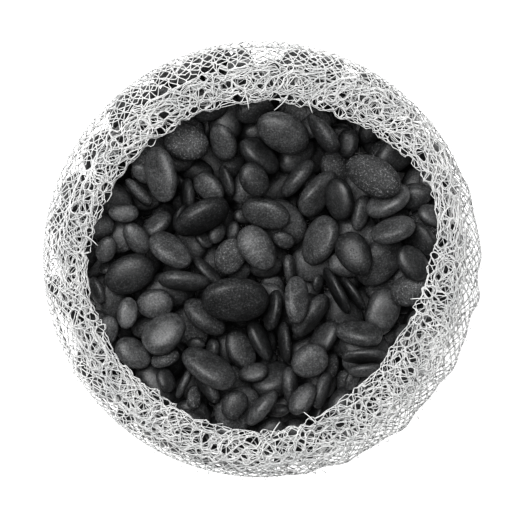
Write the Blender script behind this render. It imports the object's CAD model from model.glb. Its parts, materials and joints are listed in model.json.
"""An open net sack of basalt pebbles, its mouth rolled down into a thick cuff.

Metres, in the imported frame's own axes. Every stone takes its place, turn and half sizes from
its own CAD solid. The netting is real strands, laid over the stones.
"""

import json
import math

import bpy
import numpy as np
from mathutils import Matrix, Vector
from mathutils.bvhtree import BVHTree


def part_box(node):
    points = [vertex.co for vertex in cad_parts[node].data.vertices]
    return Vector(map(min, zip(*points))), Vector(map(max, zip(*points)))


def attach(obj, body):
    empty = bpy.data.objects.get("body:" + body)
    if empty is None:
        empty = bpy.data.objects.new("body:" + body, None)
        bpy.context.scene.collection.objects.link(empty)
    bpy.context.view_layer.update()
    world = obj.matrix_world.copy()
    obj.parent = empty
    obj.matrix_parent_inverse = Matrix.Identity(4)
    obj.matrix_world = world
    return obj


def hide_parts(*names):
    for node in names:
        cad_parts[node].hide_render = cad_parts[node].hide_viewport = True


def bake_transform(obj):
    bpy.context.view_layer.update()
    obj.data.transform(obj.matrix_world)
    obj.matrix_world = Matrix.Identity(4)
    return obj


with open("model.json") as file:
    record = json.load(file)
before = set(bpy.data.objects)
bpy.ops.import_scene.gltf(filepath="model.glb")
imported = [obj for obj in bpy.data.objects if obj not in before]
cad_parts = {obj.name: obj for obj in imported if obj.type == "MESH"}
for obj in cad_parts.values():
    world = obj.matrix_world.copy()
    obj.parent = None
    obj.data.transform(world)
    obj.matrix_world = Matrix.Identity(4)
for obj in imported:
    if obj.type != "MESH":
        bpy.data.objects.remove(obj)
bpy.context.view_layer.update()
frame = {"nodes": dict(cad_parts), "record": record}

MM = 0.001

# ---- Sizes read from the frame ----
wall_low, wall_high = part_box("net_wall")
cuff_low, cuff_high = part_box("rolled_cuff")
base_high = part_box("net_base")[1]
clip_low, clip_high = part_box("base_clip")
tail_low, tail_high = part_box("base_tail")
BELLY_R = wall_high.x
NECK_Z = wall_high.z
FOOT_R = base_high.x
HOLLOW_H = base_high.z
CUFF_AT = (cuff_low + cuff_high) / 2
CUFF_R = (cuff_high.x - cuff_low.x) / 2

# ---- Netting ----
STRAND_R = 0.36 * MM
KNOT_SWELL = 1.5
CELLS_ROUND = 118
ROW_RISE = 2.35 * MM
STRAND_STEPS = np.array([0.0, 0.2, 0.5, 0.8, 1.0])
TUBE_SIDES = 3
NET_LIFT = 0.4 * MM
# Height above which the netting turns in towards the cuff, and how square that turn is
SHOULDER_Z = 50 * MM
SHOULDER_POWER = 3.0
# Length of wall that stretches when the cuff is raised
STRETCH = 24 * MM
# Holes that stay open through every layer of the roll: area for each, width and push
HOLE_AREA = 15e-6
HOLE_W = 1.7 * MM
HOLE_PUSH = 1.25 * MM

# ---- Stones ----
FINE_GRID = 18
COARSE_GRID = 12

SLACK_DIR = math.radians(-30)

# How much the tabletop shines outside the sack, as a backdrop lit from behind does
FLOOR_GLOW = 0.9


# ---------------------------------------------------------------- general helpers
def smooth(t):
    """Goes from 0 to 1 with level ends."""
    t = np.clip(t, 0, 1)
    return t * t * (3 - 2 * t)


def add_piece(name, verts, faces, material, body=None):
    """A mesh object in the row frame, smooth shaded, riding on a body if one is given."""
    mesh = bpy.data.meshes.new(name)
    mesh.from_pydata([tuple(v) for v in verts], [], [tuple(f) for f in faces])
    mesh.polygons.foreach_set("use_smooth", [True] * len(mesh.polygons))
    mesh.materials.append(material)
    mesh.update()
    piece = bpy.data.objects.new(name, mesh)
    bpy.context.scene.collection.objects.link(piece)
    if body:
        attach(piece, body)
    return piece


def mesh_arrays(obj):
    """Vertex positions and triangles of an object's mesh."""
    mesh = obj.data
    mesh.calc_loop_triangles()
    co = np.zeros(len(mesh.vertices) * 3)
    mesh.vertices.foreach_get("co", co)
    tri = np.zeros(len(mesh.loop_triangles) * 3, int)
    mesh.loop_triangles.foreach_get("vertices", tri)
    return co.reshape(-1, 3), tri.reshape(-1, 3)


# ---------------------------------------------------------------- materials
class Nodes:
    """A short way to write a material's node tree."""

    def __init__(self, name):
        self.material = bpy.data.materials.new(name)
        self.material.use_nodes = True
        self.tree = self.material.node_tree
        self.tree.nodes.clear()
        self.out = self.add("ShaderNodeOutputMaterial")
        self.shader = self.add("ShaderNodeBsdfPrincipled")
        self.link(self.shader, "BSDF", self.out, "Surface")

    def add(self, kind, **values):
        node = self.tree.nodes.new(kind)
        for key, value in values.items():
            if hasattr(node, key):
                setattr(node, key, value)
            else:
                node.inputs[key.replace("_", " ")].default_value = value
        return node

    def link(self, a, output, b, socket):
        self.tree.links.new(a.outputs[output], b.inputs[socket])

    def ramp(self, source, output, stops):
        """A colour ramp fed by a value, given as (position, grey or colour) stops."""
        node = self.add("ShaderNodeValToRGB")
        self.link(source, output, node, "Fac")
        while len(node.color_ramp.elements) < len(stops):
            node.color_ramp.elements.new(0.5)
        for element, (at, colour) in zip(node.color_ramp.elements, stops):
            element.position = at
            value = colour if isinstance(colour, tuple) else (colour, colour, colour)
            element.color = (*value, 1)
        return node

    def maths(self, operation, a, b):
        """One maths node. Each operand is a number or a (node, output) pair."""
        node = self.add("ShaderNodeMath", operation=operation)
        for k, operand in enumerate((a, b)):
            if isinstance(operand, tuple):
                self.tree.links.new(operand[0].outputs[operand[1]], node.inputs[k])
            else:
                node.inputs[k].default_value = operand
        return node


def basalt_material():
    """Water-worn basalt: near black, with a soft sheen, fine pits and duller, paler worn patches."""
    n = Nodes("basalt")
    place = n.add("ShaderNodeTexCoord")
    tone = n.add("ShaderNodeAttribute", attribute_name="tone")
    wear = n.add("ShaderNodeAttribute", attribute_name="wear")
    cloud = n.add("ShaderNodeTexNoise", Scale=110.0, Detail=4.0, Roughness=0.6)
    grain = n.add("ShaderNodeTexNoise", Scale=900.0, Detail=4.0, Roughness=0.8)
    pits = n.add("ShaderNodeTexVoronoi", Scale=850.0, Randomness=1.0)
    for texture in (cloud, grain, pits):
        n.link(place, "Object", texture, "Vector")

    body = n.ramp(tone, "Fac", [(0.0, (0.016, 0.0165, 0.017)), (1.0, (0.075, 0.076, 0.077))])
    cloudy = n.ramp(cloud, "Fac", [(0.30, 0.60), (0.70, 1.40)])
    mixed = n.add("ShaderNodeMixRGB", blend_type="MULTIPLY", Fac=1.0)
    n.link(body, "Color", mixed, "Color1")
    n.link(cloudy, "Color", mixed, "Color2")
    fine = n.ramp(grain, "Fac", [(0.38, 0.35), (0.62, 1.65)])
    grained = n.add("ShaderNodeMixRGB", blend_type="MULTIPLY", Fac=0.85)
    n.link(mixed, "Color", grained, "Color1")
    n.link(fine, "Color", grained, "Color2")
    speck = n.ramp(grain, "Fac", [(0.56, 0.0), (0.68, 1.0)])
    amount = n.maths("MULTIPLY", (speck, "Color"), (wear, "Fac"))
    dusted = n.add("ShaderNodeMixRGB", blend_type="MIX")
    n.link(amount, "Value", dusted, "Fac")
    n.link(grained, "Color", dusted, "Color1")
    dusted.inputs["Color2"].default_value = (0.26, 0.26, 0.265, 1)
    n.link(dusted, "Color", n.shader, "Base Color")

    sheen = n.maths("MULTIPLY", (cloud, "Fac"), 0.20)
    dull = n.maths("MULTIPLY", (wear, "Fac"), 0.22)
    rough = n.maths("ADD", (sheen, "Value"), (dull, "Value"))
    rough = n.maths("ADD", (rough, "Value"), 0.32)
    n.link(rough, "Value", n.shader, "Roughness")
    n.shader.inputs["Specular IOR Level"].default_value = 0.45

    depth = n.ramp(pits, "Distance", [(0.0, 0.0), (0.34, 1.0)])
    height = n.maths("MULTIPLY", (grain, "Fac"), 0.6)
    height = n.maths("ADD", (height, "Value"), (depth, "Color"))
    strength = n.maths("MULTIPLY", (wear, "Fac"), 0.7)
    strength = n.maths("ADD", (strength, "Value"), 0.25)
    bump = n.add("ShaderNodeBump", Distance=0.00030)
    n.link(strength, "Value", bump, "Strength")
    n.link(height, "Value", bump, "Height")
    n.link(bump, "Normal", n.shader, "Normal")
    return n.material


def netting_material():
    """White knitted polyethylene: slightly see-through at its thin edges, with a faint lengthwise grain."""
    n = Nodes("netting")
    place = n.add("ShaderNodeTexCoord")
    cloud = n.add("ShaderNodeTexNoise", Scale=60.0, Detail=3.0)
    grain = n.add("ShaderNodeTexNoise", Scale=2600.0, Detail=2.0)
    n.link(place, "Object", cloud, "Vector")
    n.link(place, "Object", grain, "Vector")
    tint = n.ramp(cloud, "Fac", [(0.3, (0.55, 0.555, 0.555)), (0.7, (0.70, 0.70, 0.695))])
    n.link(tint, "Color", n.shader, "Base Color")
    rough = n.ramp(grain, "Fac", [(0.3, 0.34), (0.7, 0.52)])
    n.link(rough, "Color", n.shader, "Roughness")
    n.shader.inputs["Subsurface Weight"].default_value = 0.12
    n.shader.inputs["Subsurface Radius"].default_value = (0.0006, 0.0006, 0.0006)
    n.shader.inputs["Specular IOR Level"].default_value = 0.45
    bump = n.add("ShaderNodeBump", Distance=0.00004, Strength=0.4)
    n.link(grain, "Fac", bump, "Height")
    n.link(bump, "Normal", n.shader, "Normal")
    return n.material


def clip_material():
    """Plain drawn aluminium, finely scratched round the band."""
    n = Nodes("clip_aluminium")
    place = n.add("ShaderNodeTexCoord")
    stretch = n.add("ShaderNodeMapping")
    stretch.inputs["Scale"].default_value = (1, 1, 14)
    lines = n.add("ShaderNodeTexNoise", Scale=900.0, Detail=4.0)
    n.link(place, "Object", stretch, "Vector")
    n.link(stretch, "Vector", lines, "Vector")
    tint = n.ramp(lines, "Fac", [(0.3, (0.60, 0.60, 0.61)), (0.7, (0.78, 0.78, 0.79))])
    n.link(tint, "Color", n.shader, "Base Color")
    rough = n.ramp(lines, "Fac", [(0.3, 0.28), (0.7, 0.46)])
    n.link(rough, "Color", n.shader, "Roughness")
    n.shader.inputs["Metallic"].default_value = 1.0
    bump = n.add("ShaderNodeBump", Distance=0.00003, Strength=0.5)
    n.link(lines, "Fac", bump, "Height")
    n.link(bump, "Normal", n.shader, "Normal")
    return n.material


def floor_material():
    """A plain, pale, matt tabletop, in shade where the sack stands on it."""
    n = Nodes("floor")
    place = n.add("ShaderNodeTexCoord")
    apart = n.add("ShaderNodeVectorMath", operation="LENGTH")
    n.link(place, "Object", apart, "Vector")
    tint = n.ramp(apart, "Value", [(0.8 * FOOT_R, 0.12), (FOOT_R, 0.94)])
    n.link(tint, "Color", n.shader, "Base Color")
    n.shader.inputs["Roughness"].default_value = 0.9
    n.shader.inputs["Specular IOR Level"].default_value = 0.1
    glow = n.ramp(apart, "Value", [(FOOT_R, 0.0), (BELLY_R, FLOOR_GLOW)])
    n.shader.inputs["Emission Color"].default_value = (1, 1, 1, 1)
    n.link(glow, "Color", n.shader, "Emission Strength")
    return n.material


# ---------------------------------------------------------------- stones
def split_solids(obj):
    """Splits a node's mesh into its separate closed solids, as (positions, triangles) pairs."""
    co, tri = mesh_arrays(obj)
    keys, weld = np.unique(np.round(co * 1e6).astype(int), axis=0, return_inverse=True)
    tri = weld.reshape(-1)[tri]
    points = keys * 1e-6
    label = np.arange(len(points))
    while True:
        low = label[tri].min(axis=1)
        new = label.copy()
        for k in range(3):
            np.minimum.at(new, tri[:, k], low)
        if (new == label).all():
            break
        label = new
    for root in np.unique(label[tri]):
        mine = tri[label[tri[:, 0]] == root]
        yield points, mine


def ellipsoid_of(points, tri):
    """Centre, axes (columns: long, wide, thick) and half sizes of a closed ellipsoid, from its volume."""
    middle = points[np.unique(tri)].mean(axis=0)
    a, b, c = (points[tri[:, k]] - middle for k in range(3))
    volume = np.einsum("ij,ij->i", a, np.cross(b, c)) / 6
    total = volume.sum()
    centre = (volume[:, None] * (a + b + c)).sum(axis=0) / (4 * total)
    moment = np.zeros((3, 3))
    for p in (a, b, c, a + b + c):
        moment += np.einsum("i,ij,ik->jk", volume, p, p)
    moment = moment / (20 * total) - np.outer(centre, centre)
    size, axes = np.linalg.eigh(moment)
    order = np.argsort(size)[::-1]
    axes = axes[:, order]
    if np.linalg.det(axes) < 0:
        axes[:, 2] = -axes[:, 2]
    return middle + centre, axes, np.sqrt(5 * size[order])


def cube_sphere(n):
    """Unit directions and quads of a sphere made from a cube with n x n faces a side."""
    points = {}
    faces = []
    steps = np.tan((np.arange(n + 1) / n - 0.5) * math.pi / 2)

    def index(p):
        key = tuple(np.round(p, 6))
        return points.setdefault(key, len(points))

    for axis in range(3):
        for sign in (-1.0, 1.0):
            for i in range(n):
                for j in range(n):
                    quad = []
                    for di, dj in ((0, 0), (1, 0), (1, 1), (0, 1)):
                        p = np.zeros(3)
                        p[axis] = sign
                        p[(axis + 1) % 3] = steps[i + di]
                        p[(axis + 2) % 3] = steps[j + dj]
                        quad.append(index(p / np.linalg.norm(p)))
                    faces.append(quad if sign > 0 else quad[::-1])
    return np.array(list(points)), np.array(faces)


def pebble_shape(unit, rng):
    """Turns unit directions into a worn pebble that stays within the unit sphere."""
    p = unit.copy()
    squarer = rng.uniform(2.0, 2.35)
    plan = (np.abs(p[:, 0]) ** squarer + np.abs(p[:, 1]) ** squarer) ** (1 / squarer)
    flat = np.hypot(p[:, 0], p[:, 1])
    gain = np.where(plan > 1e-6, flat / np.maximum(plan, 1e-6), 1.0)
    most = 2 ** (0.5 - 1 / squarer)
    p[:, :2] *= (gain / most)[:, None] * 0.5 * (1 + most)
    p[:, :2] *= np.minimum(1, 1 / np.maximum(np.linalg.norm(p, axis=1), 1e-6))[:, None]

    blunt = rng.uniform(2.2, 2.7)
    plan = np.hypot(p[:, 0], p[:, 1])
    level = (plan ** blunt + np.abs(p[:, 2]) ** blunt) ** (1 / blunt)
    p *= (np.linalg.norm(p, axis=1) / np.maximum(level, 1e-6) * 0.965)[:, None]

    end = rng.choice((-1.0, 1.0))
    taper = rng.uniform(0.0, 0.16)
    toward = smooth((1 + end * p[:, 0]) / 2)
    p[:, 1] *= 1 - taper * toward
    p[:, 2] *= 1 - rng.uniform(0, 0.15) * toward

    for _ in range(rng.integers(0, 3)):
        away = rng.normal(size=3) * (0.6, 0.8, 1.0)
        away /= np.linalg.norm(away)
        past = p @ away - rng.uniform(0.80, 0.92)
        p -= np.outer(np.where(past > 0, 0.6 * past, 0), away)

    swell = np.zeros(len(p))
    for _ in range(6):
        wave = rng.normal(size=3) * rng.uniform(1.0, 2.6)
        swell += np.cos(unit @ wave + rng.uniform(0, 2 * math.pi))
    swell = (swell - swell.max()) / (swell.max() - swell.min())
    return p * (1 + rng.uniform(0.01, 0.035) * swell)[:, None]


def stone_piece(node, ellipsoids, grid, rng, material):
    """All the pebbles of one CAD node as one piece, with a tone and a wear value for each stone."""
    unit, quads = grid
    verts, faces, tones, wears = [], [], [], []
    for k, (centre, axes, half) in enumerate(ellipsoids):
        shape = pebble_shape(unit, rng)
        verts.append((shape * half) @ axes.T + centre)
        faces.append(quads + k * len(unit))
        tone = rng.beta(1.6, 1.8)
        wear = 0.95 if rng.random() < 0.10 else rng.uniform(0.05, 0.42)
        tones.append(np.full(len(unit), tone))
        wears.append(np.full(len(unit), wear))
    body = next(b for b, members in frame["record"]["behaviour"]["bodies"].items() if node in members)
    piece = add_piece(node + "_pebbles", np.concatenate(verts), np.concatenate(faces), material, body)
    for name, values in (("tone", tones), ("wear", wears)):
        attribute = piece.data.attributes.new(name, "FLOAT", "POINT")
        attribute.data.foreach_set("value", np.concatenate(values))
    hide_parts(node)


def build_stones(material):
    """Replaces every CAD stone node, and returns every stone's ellipsoid with whether it lies loose."""
    rng = np.random.default_rng(20)
    fine, coarse = cube_sphere(FINE_GRID), cube_sphere(COARSE_GRID)
    stones = []
    for node in sorted(frame["nodes"]):
        if "stone" not in node:
            continue
        found = [ellipsoid_of(*solid) for solid in split_solids(frame["nodes"][node])]
        shown = node.startswith(("loose", "surface"))
        stone_piece(node, found, fine if shown else coarse, rng, material)
        stones += found
    return stones


def ellipsoid_tree(stones):
    """A search tree over plain ellipsoids, for laying the netting on the stones."""
    unit, quads = cube_sphere(8)
    verts, faces = [], []
    for k, (centre, axes, half) in enumerate(stones):
        verts.append((unit * half) @ axes.T + centre)
        faces.append(quads + k * len(unit))
    return BVHTree.FromPolygons(np.concatenate(verts).tolist(), np.concatenate(faces).tolist())


def push_out(points, stones, gap):
    """Moves strand points that lie inside a stone, or within the gap of it, out to its surface."""
    flat = points.reshape(-1, 3)
    for centre, axes, half in stones:
        near = np.abs(flat - centre).max(axis=1) < half[0] + 2 * gap
        if not near.any():
            continue
        local = (flat[near] - centre) @ axes / (half + gap)
        far = np.linalg.norm(local, axis=1)
        inside = far < 1
        if inside.any():
            out = local[inside] / np.maximum(far[inside], 0.2)[:, None]
            moved = flat[near]
            moved[inside] = (out * (half + gap)) @ axes.T + centre
            flat[near] = moved
    return flat.reshape(points.shape)


# ---------------------------------------------------------------- strands
def tubes(paths, radii):
    """Verts and faces of thin tubes. paths is (strand, point, xyz), radii is (strand, point)."""
    count, length = paths.shape[:2]
    along = np.gradient(paths, axis=1)
    along /= np.linalg.norm(along, axis=2, keepdims=True) + 1e-12
    up = np.zeros_like(along)
    up[..., 2] = 1.0
    up[np.abs(along[..., 2]) > 0.9] = (1.0, 0.0, 0.0)
    side = np.cross(along, up)
    side /= np.linalg.norm(side, axis=2, keepdims=True) + 1e-12
    top = np.cross(side, along)
    angles = np.arange(TUBE_SIDES) * 2 * math.pi / TUBE_SIDES + math.pi / 4
    ring = (side[:, :, None] * np.cos(angles)[:, None] + top[:, :, None] * np.sin(angles)[:, None])
    verts = paths[:, :, None] + ring * radii[:, :, None, None]
    index = np.arange(count * length * TUBE_SIDES).reshape(count, length, TUBE_SIDES)
    a, b = index[:, :-1], index[:, 1:]
    faces = np.stack([a, np.roll(a, -1, 2), np.roll(b, -1, 2), b], axis=-1).reshape(-1, 4)
    caps = np.concatenate([index[:, 0, ::-1], index[:, -1]])
    return verts.reshape(-1, 3), faces.tolist() + caps.tolist()


def net_strands(rows, jitter, rng):
    """Net cells on a sheet. rows are the places of the knots' rows along the sheet. Returns the
    strands' (around, along) places: around runs from 0 to 1, and is let run past either end."""
    count = len(rows)
    around = (np.arange(CELLS_ROUND)[None] + 0.5 * (np.arange(count)[:, None] % 2)) / CELLS_ROUND
    around = around + rng.normal(size=around.shape) * jitter / CELLS_ROUND
    along = np.repeat(rows[:, None], CELLS_ROUND, 1) + rng.normal(size=around.shape) * jitter * ROW_RISE
    strands = []
    for j in range(count - 1):
        first = np.stack([around[j], along[j]], -1)
        for side in (0, 1):
            shift = side if j % 2 else side - 1
            turned = np.roll(np.arange(CELLS_ROUND), -shift)
            last = np.stack([around[j + 1][turned], along[j + 1][turned]], -1)
            last[:, 0] += np.round(first[:, 0] - last[:, 0])
            strands.append(np.stack([first, last], 1))
    ends = np.concatenate(strands)
    t = STRAND_STEPS
    bend = 0.45 * t + 0.55 * smooth(t)
    u = ends[:, None, 0, 0] + (ends[:, None, 1, 0] - ends[:, None, 0, 0]) * bend
    v = ends[:, None, 0, 1] + (ends[:, None, 1, 1] - ends[:, None, 0, 1]) * t
    return u, v


def knot_radii(u, radius):
    """Strands swell where they are knotted at their two ends."""
    swell = 1 + (KNOT_SWELL - 1) * (np.abs(2 * STRAND_STEPS - 1) > 0.9)
    return np.ones_like(u) * radius * swell


def even_rows(length, rise):
    return np.linspace(0, length, int(round(length / rise)) + 1)


class Profile:
    """A curve of (radius, height) points, looked up by the distance along it."""

    def __init__(self, points):
        self.points = np.array(points)
        steps = np.linalg.norm(np.diff(self.points, axis=0), axis=1)
        self.along = np.concatenate([[0], np.cumsum(steps)])
        self.length = self.along[-1]

    def at(self, v):
        return tuple(np.interp(v, self.along, self.points[:, k]) for k in (0, 1))


# ---------------------------------------------------------------- wall netting
def wall_profile():
    """Outline of the netting from the foot to the neck. It is the CAD wall's own up to the
    shoulder, which turns in a little more squarely here."""
    co, tri = mesh_arrays(frame["nodes"]["net_wall"])
    edges = co[np.concatenate([tri[:, :2], tri[:, 1:]])]
    r, z = np.hypot(edges[..., 0], edges[..., 1]), edges[..., 2]
    levels = np.linspace(wall_low.z + 0.5 * MM, NECK_Z - 0.3 * MM, 90)
    radii = np.zeros(len(levels))
    for k, level in enumerate(levels):
        cut = (z.min(axis=1) < level) & (z.max(axis=1) > level)
        t = (level - z[cut, 0]) / (z[cut, 1] - z[cut, 0])
        radii[k] = (r[cut, 0] + t * (r[cut, 1] - r[cut, 0])).min()
    neck = radii[-1]
    start = np.interp(SHOULDER_Z, levels, radii)
    t = np.clip((levels - SHOULDER_Z) / (levels[-1] - SHOULDER_Z), 0, 1)
    turned = neck + (start - neck) * (1 - t ** SHOULDER_POWER) ** (1 / SHOULDER_POWER)
    radii = np.where(levels > SHOULDER_Z, np.maximum(radii, turned), radii)
    return Profile(np.stack([radii, levels], -1))


def stretched_rows(profile):
    """Rows of knots up the wall, further apart where the stones' weight pulls the netting straight."""
    rows = [0.0]
    while rows[-1] < profile.length:
        ahead = min(rows[-1] + ROW_RISE, profile.length)
        rise = profile.at(ahead)[1] - profile.at(rows[-1])[1]
        rows.append(rows[-1] + ROW_RISE * (1 + 0.9 * (rise / ROW_RISE) ** 6))
    return np.array(rows) * profile.length / rows[-1]


def stone_envelope(tree, profile, turns, levels):
    """The radius at which netting pulled over the stones lies, on a grid of turns and levels."""
    heights = np.linspace(0, NECK_Z, levels)
    limit = np.interp(heights, profile.points[:, 1], profile.points[:, 0])
    touch = np.zeros((turns, levels))
    for i in range(turns):
        a = 2 * math.pi * i / turns
        out = Vector((math.cos(a), math.sin(a), 0))
        for j, z in enumerate(heights):
            hit = tree.ray_cast(out * BELLY_R * 1.2 + Vector((0, 0, z)), -out)
            if hit[0] is not None:
                touch[i, j] = math.hypot(hit[0].x, hit[0].y)
    angles = 2 * math.pi * np.arange(turns) / turns
    slack = smooth((np.cos(angles - SLACK_DIR) - 0.35) / 0.5)
    sag = 4 * MM * (1 - smooth((heights - SHOULDER_Z) / (15 * MM)))
    hang = limit[None] - 0.8 * MM - (1 - slack[:, None]) * sag[None]
    touch = np.minimum(touch, limit[None] + 0.5 * MM)
    sheet = np.maximum(touch, hang)
    for _ in range(30):
        spread = (np.roll(sheet, 1, 0) + np.roll(sheet, -1, 0)) / 2
        rise = sheet.copy()
        rise[:, 1:-1] = (sheet[:, :-2] + sheet[:, 2:]) / 2
        sheet = np.maximum(touch, np.maximum(0.5 * (spread + rise), hang))
    return angles, heights, sheet


def wall_points(u, v, profile, envelope):
    """Places wall strands on the envelope. Slack netting falls into soft upright folds."""
    angles, heights, sheet = envelope
    r0, z = profile.at(v)
    a = (2 * math.pi * u) % (2 * math.pi)
    turns, levels = sheet.shape
    x = a / (2 * math.pi) * turns
    y = z / NECK_Z * (levels - 1)
    i, j = np.floor(x).astype(int), np.clip(np.floor(y).astype(int), 0, levels - 2)
    fx, fy = x - i, y - j
    low = sheet[i % turns, j] * (1 - fx) + sheet[(i + 1) % turns, j] * fx
    high = sheet[i % turns, j + 1] * (1 - fx) + sheet[(i + 1) % turns, j + 1] * fx
    r = low * (1 - fy) + high * fy
    slack = smooth((np.cos(a - SLACK_DIR) - 0.35) / 0.5)
    fold = np.sin(21 * a + 1.3 * np.sin(5 * a)) + 0.6 * np.sin(37 * a + 2.0)
    r = r + slack * fold * 1.1 * MM * np.sin(math.pi * z / NECK_Z)
    foot = smooth(z / (12 * MM))
    r = r0 * (1 - foot) + r * foot + NET_LIFT
    return np.stack([r * np.cos(a), r * np.sin(a), z + 0.5 * MM], -1)


def build_wall(stones, tree, material):
    """The one layer of netting round the stones, in two bands that ride on the sack."""
    rng = np.random.default_rng(31)
    profile = wall_profile()
    envelope = stone_envelope(tree, profile, 360, 60)
    rows = stretched_rows(profile)
    last = int(np.searchsorted(rows, profile.length - STRETCH))
    half = last // 2
    bands = {"net_wall_lower": (0, half), "net_wall_upper": (half, last)}
    u_all, v_all = net_strands(rows, 0.10, rng)
    row_of = np.repeat(np.arange(len(rows) - 1), 2 * CELLS_ROUND)
    drift = 0.35 / CELLS_ROUND * np.sin(2 * math.pi * (3 * u_all + v_all / profile.length))
    points = wall_points(u_all + drift * 2, v_all, profile, envelope)
    points = push_out(points, stones, NET_LIFT)
    radii = knot_radii(u_all, STRAND_R)
    for name, (start, end) in bands.items():
        mine = (row_of >= start) & (row_of < end)
        verts, faces = tubes(points[mine], radii[mine])
        piece = add_piece(name, verts, faces, material, "sack")
    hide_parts("net_wall")
    top = row_of >= last
    return points[top], radii[top]


def build_neck(top_points, top_radii, stones, material):
    """The netting from the wall's top to the lip of the mouth. It stretches as the cuff is raised."""
    rng = np.random.default_rng(32)
    under = cuff_low.z - 0.5 * MM
    r_top = np.hypot(top_points[..., 0], top_points[..., 1]).max()
    length = r_top - CUFF_R + 28 * MM
    u, v = net_strands(even_rows(length, 1.8 * ROW_RISE), 0.12, rng)
    a = 2 * math.pi * u
    t = v / length
    lip = mouth_radius(a) + 1.5 * MM
    r = r_top + (lip - r_top) * t
    z = NECK_Z + (under - NECK_Z) * smooth(t / 0.15) + 5 * MM * smooth((t - 0.85) / 0.15)
    share = smooth(t)
    points = np.stack([r * np.cos(a) + share * CUFF_AT.x, r * np.sin(a) + share * CUFF_AT.y, z], -1)
    points = push_out(open_holes(points), stones, NET_LIFT)
    points = np.concatenate([top_points, points])
    radii = np.concatenate([top_radii, knot_radii(u, STRAND_R)])
    verts, faces = tubes(points, radii)
    piece = add_piece("net_neck", verts, faces, material)
    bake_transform(piece)


def build_base(material):
    """The flat underside, drawn together into pleats over the hollow in its middle."""
    rng = np.random.default_rng(33)
    hollow_r = 15 * MM
    gather_r = 3.6 * MM
    dome = [(hollow_r * math.cos(t), 0.6 * MM + (HOLLOW_H - 1.6 * MM) * math.sin(t))
            for t in np.linspace(0.1, 1.25, 9)]
    flat = [(FOOT_R, 0.5 * MM), (hollow_r + 2 * MM, 0.5 * MM)]
    profile = Profile(flat + dome + [(gather_r, HOLLOW_H - 1 * MM)])
    u, v = net_strands(even_rows(profile.length, ROW_RISE * 1.25), 0.10, rng)
    r, z = profile.at(v)
    a = 2 * math.pi * u
    pleat = smooth(1 - r / (60 * MM)) * np.sin(26 * a + 3 * np.sin(2 * a))
    z = np.maximum(z + pleat * 0.9 * MM, 0.4 * MM)
    points = np.stack([r * np.cos(a), r * np.sin(a), z], -1)
    thin = np.clip(r / (30 * MM), 0.45, 1)
    verts, faces = tubes(points, knot_radii(u, STRAND_R) * thin)
    piece = add_piece("net_underside", verts, faces, material, "sack")
    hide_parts("net_base")


# ---------------------------------------------------------------- rolled cuff
def outline(a, base, bumps):
    """A radius in direction a: a base with smooth bumps, given as (height, degrees, width)."""
    total = np.full(np.shape(a), float(base))
    for height, at, width in bumps:
        off = (np.degrees(a) - at + 180) % 360 - 180
        total = total + height * np.exp(-(off / width) ** 2)
    return total * MM


def mouth_radius(a):
    """Radius of the mouth's edge from the cuff's own centre. The roll is slack, so it isn't round."""
    return outline(a, 96.5, [(10, 25, 23), (-2, 100, 30), (6.5, 187, 36), (2, 268, 18), (-7.5, 322, 34)])


def outer_radius(a):
    """Radius of the outside of the roll from the cuff's own centre."""
    return outline(a, 121.4, [(7, 45, 24), (-2.5, 112, 26), (3, 178, 16), (1, 270, 40), (-1.5, 0, 12)])


def open_holes(points):
    """Pushes strands aside in the same places in every layer of the roll, where holes stay open."""
    rng = np.random.default_rng(40)
    inner, outer = CUFF_R - 30 * MM, CUFF_R + 6 * MM
    count = int(math.pi * (outer ** 2 - inner ** 2) / HOLE_AREA)
    a = rng.uniform(0, 2 * math.pi, count)
    r = np.sqrt(rng.uniform(inner ** 2, outer ** 2, count))
    flat = points.reshape(-1, 3).copy()
    for place in np.stack([CUFF_AT.x + r * np.cos(a), CUFF_AT.y + r * np.sin(a)], -1):
        lie = rng.uniform(0, math.pi)
        stretch = rng.uniform(0.45, 1.0)
        reach = rng.uniform(0.5, 1.1) * HOLE_PUSH
        near = np.abs(flat[:, :2] - place).max(axis=1) < 3 * HOLE_W
        off = flat[near, :2] - place
        along = off[:, 0] * math.cos(lie) + off[:, 1] * math.sin(lie)
        across = off[:, 1] * math.cos(lie) - off[:, 0] * math.sin(lie)
        far = np.hypot(along * stretch, across)
        push = reach * np.exp(-(far / HOLE_W) ** 2)
        flat[near, :2] += off / np.maximum(far, 1e-6)[:, None] * push[:, None]
    return flat.reshape(points.shape)


def cuff_points(u, turn, share, depth):
    """Places strands on the roll. turn counts turns round its section, share shrinks each turn
    towards the middle of the roll, and depth pushes a strand off the sheet."""
    a = 2 * math.pi * u
    inner, outer = mouth_radius(a), outer_radius(a)
    wide = (outer - inner) / 2 * share + depth
    high = (cuff_high.z - cuff_low.z) / 2 * share + depth
    phase = math.pi - 2 * math.pi * turn
    c, s = np.cos(phase), np.sin(phase)
    x = wide * np.sign(c) * np.abs(c) ** 0.8
    z = high * np.sign(s) * np.abs(s) ** 0.8
    slump = 0.8 * MM * np.sin(3 * a + 1) + 0.6 * MM * np.sin(8 * a)
    r = (inner + outer) / 2 + x
    height = CUFF_AT.z + z + slump * smooth((z / high + 1) / 2)
    return np.stack([CUFF_AT.x + r * np.cos(a), CUFF_AT.y + r * np.sin(a), height], -1)


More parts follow.
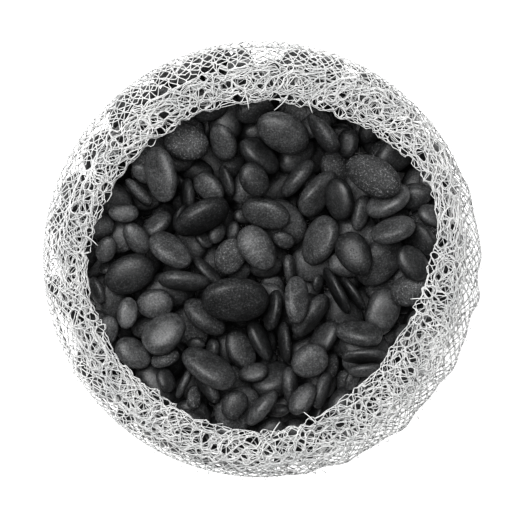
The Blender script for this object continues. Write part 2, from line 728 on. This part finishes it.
def build_cuff(stones, material):
    """The mouth of the tube, rolled outwards and down: one spiral sheet, in a piece for each turn."""
    rng = np.random.default_rng(34)
    shares = (1.0, 0.66)
    spacings = (0.95, 1.0)
    for k, (share, spacing) in enumerate(zip(shares, spacings)):
        perimeter = 62 * MM * share
        count = int(perimeter / ROW_RISE / spacing)
        rows = np.cumsum(np.concatenate([[0], rng.uniform(0.55, 1.35, count)]))
        rows = rows / rows[-1] * perimeter
        u, v = net_strands(rows, 0.20, rng)
        turn = v / perimeter
        lean = rng.uniform(-1.1, 1.1)
        u = u + lean * turn * 3 / CELLS_ROUND + rng.uniform(0, 1)
        for m, size in ((4, 0.9), (9, 0.55), (17, 0.38), (31, 0.25)):
            phase = rng.uniform(0, 2 * math.pi, 2)
            u = u + size / CELLS_ROUND * np.sin(2 * math.pi * m * u + 5 * turn + phase[0])
            turn = turn + size * 0.008 * np.sin(2 * math.pi * m * u + 9 * turn + phase[1])
        depth = np.zeros_like(u)
        for m in (11, 23, 47):
            depth += 0.30 * MM * np.sin(2 * math.pi * m * u + 14 * turn + rng.uniform(0, 6.28))
        following = shares[k + 1] if k + 1 < len(shares) else share - 0.18
        inward = share + (following - share) * np.clip(turn, 0, 1)
        points = cuff_points(u, turn, inward, depth - 0.6 * MM)
        points = push_out(open_holes(points), stones, NET_LIFT)
        verts, faces = tubes(points, knot_radii(u, 0.86 * STRAND_R))
        piece = add_piece(f"cuff_turn_{k + 1}", verts, faces, material, "cuff")
    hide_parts("rolled_cuff")


def build_loose_ends(material):
    """Cut ends of single strands that stray from the roll over the edge of the mouth."""
    rng = np.random.default_rng(35)
    places = [96, 82, 75, 171, -88, -72, -12]
    paths = []
    for degrees in places:
        a = math.radians(degrees)
        length = rng.uniform(2.5, 5) * MM
        twist = rng.uniform(-1.6, 1.6)
        t = np.linspace(0, 1, 7)
        reach = mouth_radius(np.array(a)) + 5 * MM - (length + 5 * MM) * t
        turned = a + twist * length * t ** 1.5 / reach
        height = CUFF_AT.z + 4.5 * MM + 3.2 * MM * np.sin(2.2 * t + 0.5) * (1 - 0.4 * t)
        paths.append(np.stack([
            CUFF_AT.x + reach * np.cos(turned), CUFF_AT.y + reach * np.sin(turned), height], -1))
    paths = np.array(paths)
    radii = np.ones(paths.shape[:2]) * STRAND_R * 1.15
    verts, faces = tubes(paths, radii)
    piece = add_piece("cuff_loose_ends", verts, faces, material, "cuff")


# ---------------------------------------------------------------- gathered bottom
def build_tail(material):
    """The gathered strands, drawn through the clip and fanned out under it."""
    rng = np.random.default_rng(36)
    waist = tail_high.z - 0.5 * MM
    bundle = (clip_low.x * -1 - 2.2 * MM)
    paths = []
    for k in range(46):
        a = rng.uniform(0, 2 * math.pi)
        near = bundle * math.sqrt(rng.random())
        spread = rng.uniform(0.35, 1.0) * tail_high.x
        t = np.linspace(0, 1, 8)
        flare = smooth((t - 0.62) / 0.38)
        r = near + (spread - near) * flare
        turned = a + 0.7 * t + rng.normal() * 0.2 * flare
        z = waist + (tail_low.z + rng.uniform(0.1, 1.4) * MM - waist) * t
        paths.append(np.stack([r * np.cos(turned), r * np.sin(turned), z], -1))
    paths = np.array(paths)
    radii = np.ones(paths.shape[:2]) * STRAND_R
    verts, faces = tubes(paths, radii)
    piece = add_piece("gathered_tail", verts, faces, material, "sack")
    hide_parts("base_tail")


def build_clip(material):
    """A band of soft aluminium with rounded rims, pinched in at three places."""
    outer = clip_high.x
    inner = outer - 1.4 * MM
    height = clip_high.z - clip_low.z
    middle = (clip_high.z + clip_low.z) / 2
    around, section = 96, 24
    verts, faces = [], []
    for i in range(around):
        a = 2 * math.pi * i / around
        pinch = 0.45 * MM * max(0.0, math.cos(3 * a)) ** 6
        for j in range(section):
            t = 2 * math.pi * j / section
            c, s = math.cos(t), math.sin(t)
            r = (outer + inner) / 2 - 0.2 * MM + (outer - inner - 0.4 * MM) / 2 * math.copysign(abs(c) ** 0.5, c)
            r -= pinch * max(0.0, c) * (1 - abs(s) ** 4)
            z = middle + height / 2 * math.copysign(abs(s) ** 0.35, s)
            verts.append((r * math.cos(a), r * math.sin(a), z))
            b, d = (i + 1) % around, (j + 1) % section
            faces.append((i * section + j, b * section + j, b * section + d, i * section + d))
    piece = add_piece("crimped_clip", verts, faces, material, "sack")
    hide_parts("base_clip")


# ---------------------------------------------------------------- stage
def add_area_light(name, place, target, size, power):
    data = bpy.data.lights.new(name, "AREA")
    data.shape = "DISK"
    data.size = size
    data.energy = power
    light = bpy.data.objects.new(name, data)
    light.location = place
    aim = Vector(target) - Vector(place)
    light.rotation_euler = aim.to_track_quat("-Z", "Y").to_euler()
    bpy.context.scene.collection.objects.link(light)


def build_stage():
    """A white table, a broad overhead light and an even white surround, as in a product light tent."""
    half = 3.0
    corners = [(-half, -half, 0), (half, -half, 0), (half, half, 0), (-half, half, 0)]
    floor = add_piece("floor", corners, [(0, 1, 2, 3)], floor_material())
    world = bpy.data.worlds.new("surround")
    world.use_nodes = True
    world.node_tree.nodes["Background"].inputs["Color"].default_value = (1, 1, 1, 1)
    world.node_tree.nodes["Background"].inputs["Strength"].default_value = 0.20
    bpy.context.scene.world = world
    add_area_light("overhead", (-0.6, 0.7, 3.2), (0, 0, 0.05), 2.2, 130)


def build_camera():
    """Straight above the sack, from far enough that its sides hardly show."""
    distance = 3.0
    seen = 2 * BELLY_R * 522 / 442
    data = bpy.data.cameras.new("camera")
    data.angle = 2 * math.atan(seen / 2 / (distance - 0.038))
    camera = bpy.data.objects.new("camera", data)
    camera.location = (0, -0.0012, distance)
    bpy.context.scene.collection.objects.link(camera)
    bpy.context.scene.camera = camera
    bpy.context.scene.view_settings.view_transform = "Standard"
    bpy.context.scene.view_settings.look = "High Contrast"


basalt = basalt_material()
netting = netting_material()
stones = build_stones(basalt)
tree = ellipsoid_tree(stones)
top_points, top_radii = build_wall(stones, tree, netting)
build_neck(top_points, top_radii, stones, netting)
build_base(netting)
build_cuff(stones, netting)
build_loose_ends(netting)
build_tail(netting)
build_clip(clip_material())
build_stage()
build_camera()
